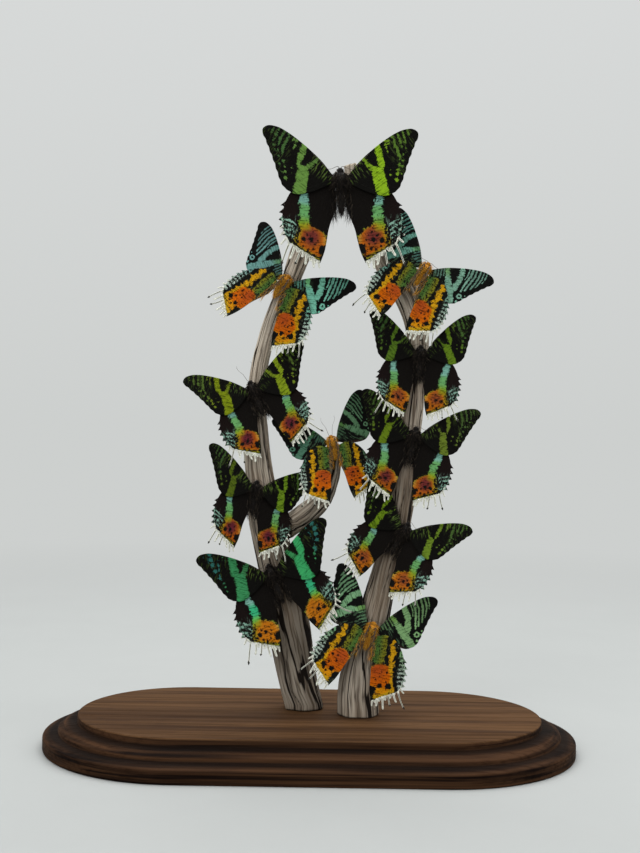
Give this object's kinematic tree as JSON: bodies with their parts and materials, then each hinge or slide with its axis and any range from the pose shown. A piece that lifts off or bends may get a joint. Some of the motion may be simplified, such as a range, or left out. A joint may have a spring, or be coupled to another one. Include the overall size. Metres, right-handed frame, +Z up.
{
  "type": "mounted moth display",
  "caption": "Day-flying moths with tailed, banded wings, fixed up two grey driftwood trunks that stand on a stepped racetrack board of dark wood.",
  "frame": {"origin": "middle of the board's underside, on the surface that the display stands on", "axes": "+Z up, +X to the right seen from the front, +Y towards the back; the front faces -Y"},
  "size_m": [0.3, 0.16, 0.3489],
  "materials": {
    "board": "dark walnut with a thin satin oil finish",
    "driftwood": "bare, weathered and cracked along the grain, matte",
    "fur_dark": "fine dark hair",
    "fur_tan": "fine orange-brown hair",
    "forewing": "fine iridescent scales, black barred with green",
    "hindwing": "fine iridescent scales, black, green and orange, white fringe"
  },
  "bodies": {
    "root": {"base_board": "board", "driftwood_left": "driftwood", "driftwood_right": "driftwood", "driftwood_branch": "driftwood", "moth_01_body": "fur_dark", "moth_01_forewing_left": "forewing", "moth_01_forewing_right": "forewing", "moth_01_hindwing_left": "hindwing", "moth_01_hindwing_right": "hindwing", "moth_02_body": "fur_tan", "moth_02_forewing_left": "forewing", "moth_02_forewing_right": "forewing", "moth_02_hindwing_left": "hindwing", "moth_02_hindwing_right": "hindwing", "moth_03_body": "fur_tan", "moth_03_forewing_left": "forewing", "moth_03_forewing_right": "forewing", "moth_03_hindwing_left": "hindwing", "moth_03_hindwing_right": "hindwing", "moth_04_body": "fur_dark", "moth_04_forewing_left": "forewing", "moth_04_forewing_right": "forewing", "moth_04_hindwing_left": "hindwing", "moth_04_hindwing_right": "hindwing", "moth_05_body": "fur_dark", "moth_05_forewing_left": "forewing", "moth_05_forewing_right": "forewing", "moth_05_hindwing_left": "hindwing", "moth_05_hindwing_right": "hindwing", "moth_06_body": "fur_dark", "moth_06_forewing_left": "forewing", "moth_06_forewing_right": "forewing", "moth_06_hindwing_left": "hindwing", "moth_06_hindwing_right": "hindwing", "moth_07_body": "fur_tan", "moth_07_forewing_left": "forewing", "moth_07_forewing_right": "forewing", "moth_07_hindwing_left": "hindwing", "moth_07_hindwing_right": "hindwing", "moth_08_body": "fur_dark", "moth_08_forewing_left": "forewing", "moth_08_forewing_right": "forewing", "moth_08_hindwing_left": "hindwing", "moth_08_hindwing_right": "hindwing", "moth_09_body": "fur_dark", "moth_09_forewing_left": "forewing", "moth_09_forewing_right": "forewing", "moth_09_hindwing_left": "hindwing", "moth_09_hindwing_right": "hindwing", "moth_10_body": "fur_dark", "moth_10_forewing_left": "forewing", "moth_10_forewing_right": "forewing", "moth_10_hindwing_left": "hindwing", "moth_10_hindwing_right": "hindwing", "moth_11_body": "fur_tan", "moth_11_forewing_left": "forewing", "moth_11_forewing_right": "forewing", "moth_11_hindwing_left": "hindwing", "moth_11_hindwing_right": "hindwing"}
  },
  "joints": []
}
